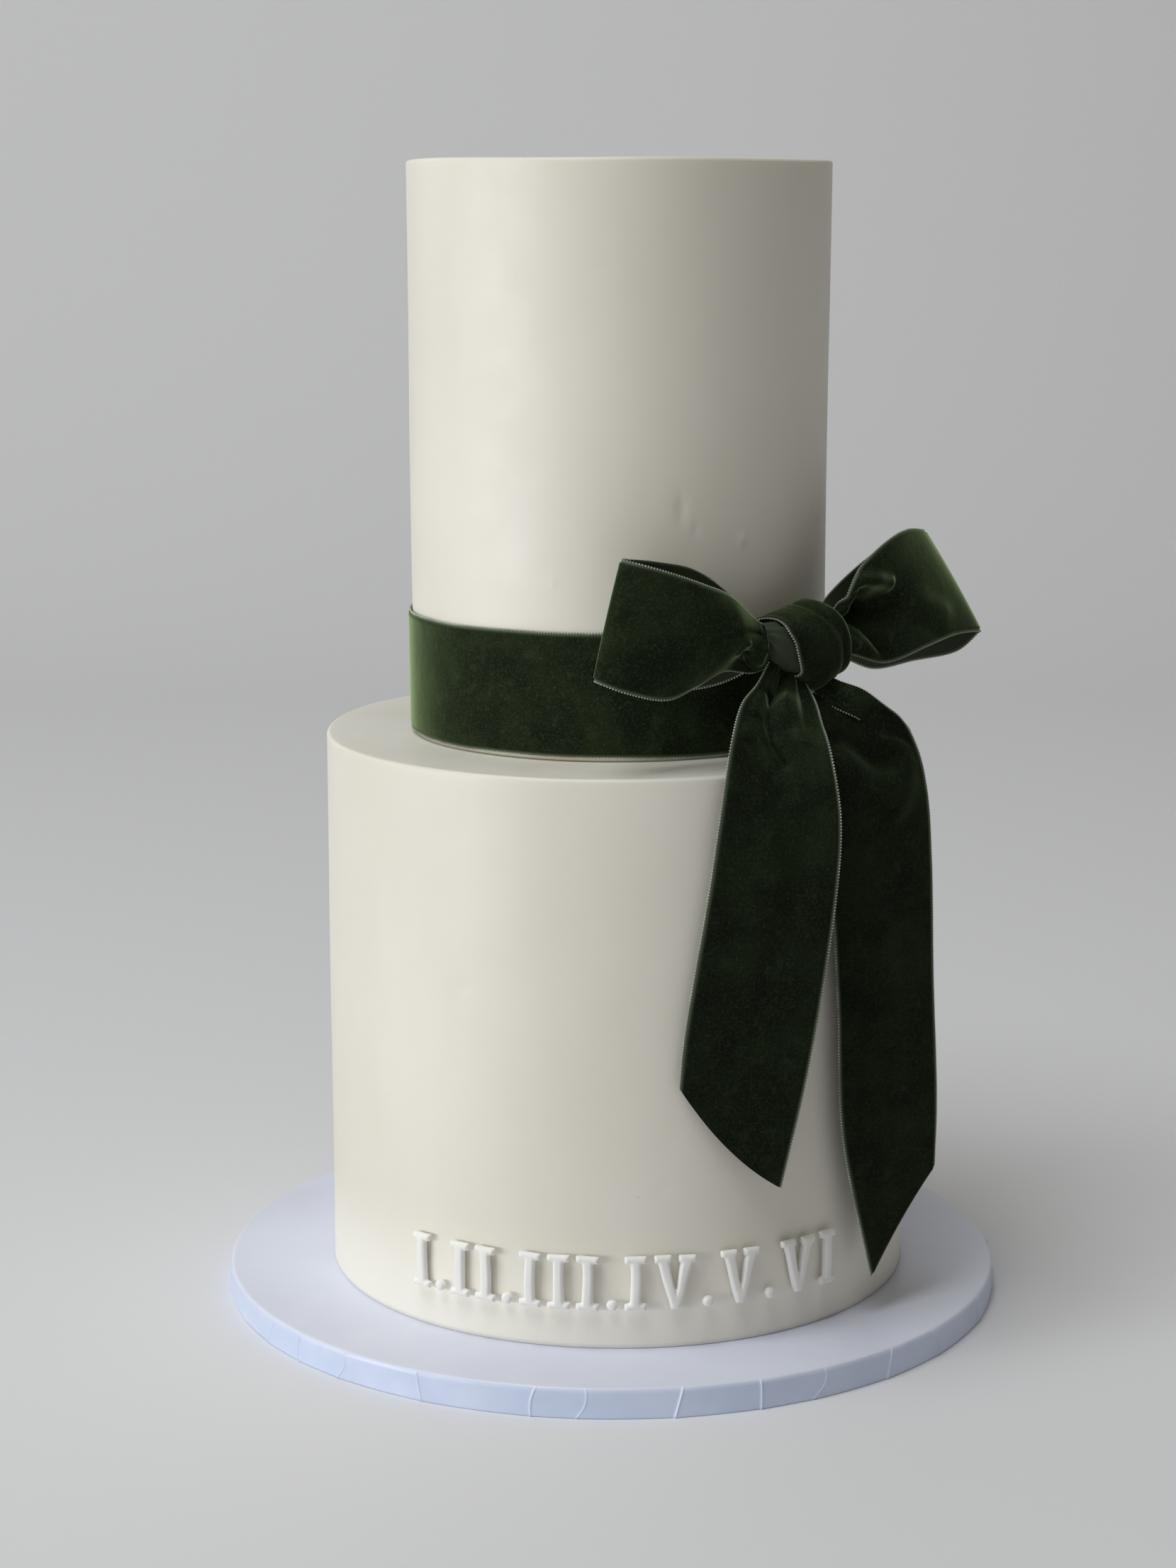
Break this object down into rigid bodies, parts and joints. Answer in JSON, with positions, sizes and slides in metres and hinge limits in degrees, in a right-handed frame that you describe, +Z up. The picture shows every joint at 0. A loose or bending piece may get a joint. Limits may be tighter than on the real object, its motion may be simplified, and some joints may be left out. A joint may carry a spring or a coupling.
{
  "type": "tiered wedding cake",
  "caption": "Tall round tiered wedding cake in smooth ivory icing on its white drum board, with a green velvet ribbon and bow and a row of raised numerals.",
  "frame": {"origin": "centre of the board's underside, where the cake stands", "axes": "+Z up; -Y is the front, towards the numerals, and the bow is on the front right at +X -Y"},
  "size_m": [0.254, 0.254, 0.3655],
  "materials": {
    "board_paper": "cool white semi-gloss paper covering with small folds at the edge",
    "ivory_icing": "smooth satin ivory icing",
    "green_velvet": "deep green velvet pile with pale picot selvedges and a smooth reverse",
    "white_icing": "smooth white icing"
  },
  "bodies": {
    "root": {"board": "board_paper", "lower_tier": "ivory_icing", "upper_tier": "ivory_icing", "ribbon_band": "green_velvet", "bow_knot": "green_velvet", "bow_loop_left": "green_velvet", "bow_loop_right": "green_velvet", "bow_tail_front": "green_velvet", "bow_tail_rear": "green_velvet", "numeral_01": "white_icing", "numeral_02": "white_icing", "numeral_03": "white_icing", "numeral_04": "white_icing", "numeral_05": "white_icing", "numeral_06": "white_icing", "numeral_07": "white_icing", "numeral_08": "white_icing", "numeral_09": "white_icing", "numeral_10": "white_icing", "numeral_11": "white_icing", "numeral_12": "white_icing", "numeral_13": "white_icing", "numeral_14": "white_icing", "numeral_15": "white_icing", "numeral_16": "white_icing"}
  },
  "joints": []
}
